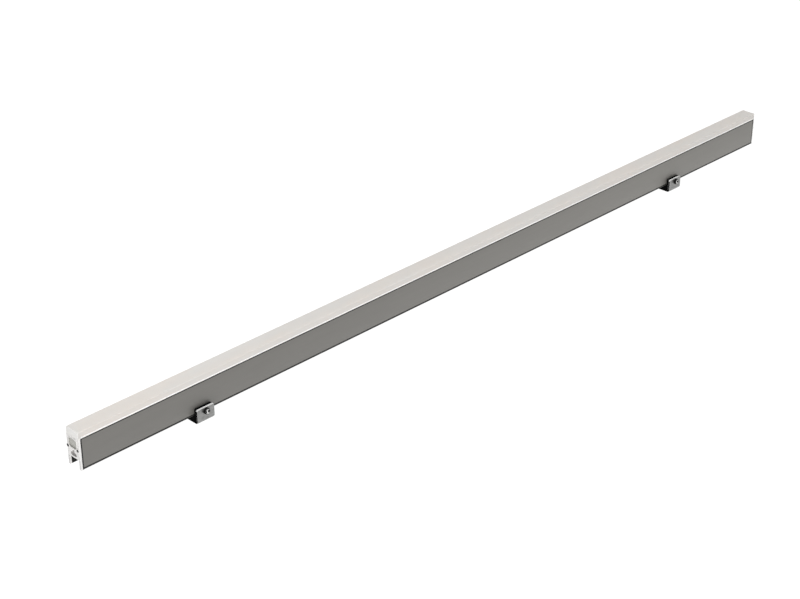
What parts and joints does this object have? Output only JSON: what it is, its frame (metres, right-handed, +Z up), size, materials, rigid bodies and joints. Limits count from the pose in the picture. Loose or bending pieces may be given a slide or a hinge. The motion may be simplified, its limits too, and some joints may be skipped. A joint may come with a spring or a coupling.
{
  "type": "outdoor wall washer light",
  "caption": "Slim linear wall washer: aluminium extrusion with a milky cover, end caps, LED boards inside, and sliding clamp brackets underneath.",
  "frame": {"origin": "middle of the part's box on the plane that the brackets stand on", "axes": "+X along the lamp from its near end to its far end, -Y to the front with the clamp screws, +Z up to the light-giving cover"},
  "size_m": [1.0016, 0.031, 0.0463],
  "materials": {
    "aluminium_profile": "satin anodised, warm grey",
    "milky_cover": "milky polycarbonate, soft sheen",
    "cover_seal": "grey silicone",
    "led_board": "white solder mask on an aluminium core",
    "led_package": "white housings with warm phosphor",
    "chip_black": "black moulded chips",
    "solder": "tinned",
    "thermal_tape": "thermal adhesive tape",
    "bright_steel": "zinc plated steel",
    "terminal_body": "pale nylon",
    "terminal_brass": "nickelled brass",
    "wire_red": "red insulation",
    "wire_black": "black insulation",
    "black_rubber": "black rubber",
    "white_cap": "white moulded plastic, fine grain",
    "dark_gasket": "dark foam rubber",
    "dark_steel": "blackened screws",
    "grey_silicone": "grey silicone",
    "bracket_steel": "brushed stainless steel",
    "screw_steel": "bright stainless steel"
  },
  "bodies": {
    "lamp": {"housing_extrusion": "aluminium_profile", "diffuser_cover": "milky_cover", "cover_seal_front": "cover_seal", "cover_seal_back": "cover_seal", "led_board_1": "led_board", "led_board_2": "led_board", "led_board_3": "led_board", "led_board_4": "led_board", "led_packages": "led_package", "board_resistors": "chip_black", "current_regulators": "chip_black", "board_links": "solder", "thermal_tape": "thermal_tape", "board_screws": "bright_steel", "terminal_block": "terminal_body", "terminal_screws": "terminal_brass", "lead_positive": "wire_red", "lead_negative": "wire_black", "cable_grommet": "black_rubber", "end_cap_near": "white_cap", "end_cap_far": "white_cap", "end_gasket_near": "dark_gasket", "end_gasket_far": "dark_gasket", "end_cap_screws_near": "dark_steel", "end_cap_screws_far": "dark_steel", "fill_plug_near": "grey_silicone", "fill_plug_far": "grey_silicone"},
    "bracket_near": {"bracket_near": "bracket_steel", "saddle_near": "black_rubber", "rear_pad_near": "black_rubber"},
    "bracket_far": {"bracket_far": "bracket_steel", "saddle_far": "black_rubber", "rear_pad_far": "black_rubber"},
    "clamp_near": {"clamp_pad_near": "black_rubber"},
    "clamp_far": {"clamp_pad_far": "black_rubber"},
    "screw_near": {"clamp_screw_near": "screw_steel"},
    "screw_far": {"clamp_screw_far": "screw_steel"}
  },
  "joints": [
    {"name": "near_slide", "type": "slide", "parent": "lamp", "child": "bracket_near", "axis": [1, 0, 0], "range_m": [-0.1165, 0.3405]},
    {"name": "far_slide", "type": "slide", "parent": "lamp", "child": "bracket_far", "axis": [1, 0, 0], "range_m": [-0.317, 0.14]},
    {"name": "near_clamp", "type": "slide", "parent": "bracket_near", "child": "clamp_near", "axis": [0, -1, 0], "range_m": [0, 0.0008]},
    {"name": "far_clamp", "type": "slide", "parent": "bracket_far", "child": "clamp_far", "axis": [0, -1, 0], "range_m": [0, 0.0008]},
    {"name": "near_screw", "type": "hinge", "parent": "clamp_near", "child": "screw_near", "pos_m": [-0.3635, -0.014, 0.0114], "axis": [0, -1, 0], "range_deg": [0, 412]},
    {"name": "far_screw", "type": "hinge", "parent": "clamp_far", "child": "screw_far", "pos_m": [0.34, -0.014, 0.0114], "axis": [0, -1, 0], "range_deg": [0, 412]}
  ],
  "couplings": [
    {"joint": "near_screw", "follows": "near_clamp", "rad_per_m": 8976},
    {"joint": "far_screw", "follows": "far_clamp", "rad_per_m": 8976}
  ]
}
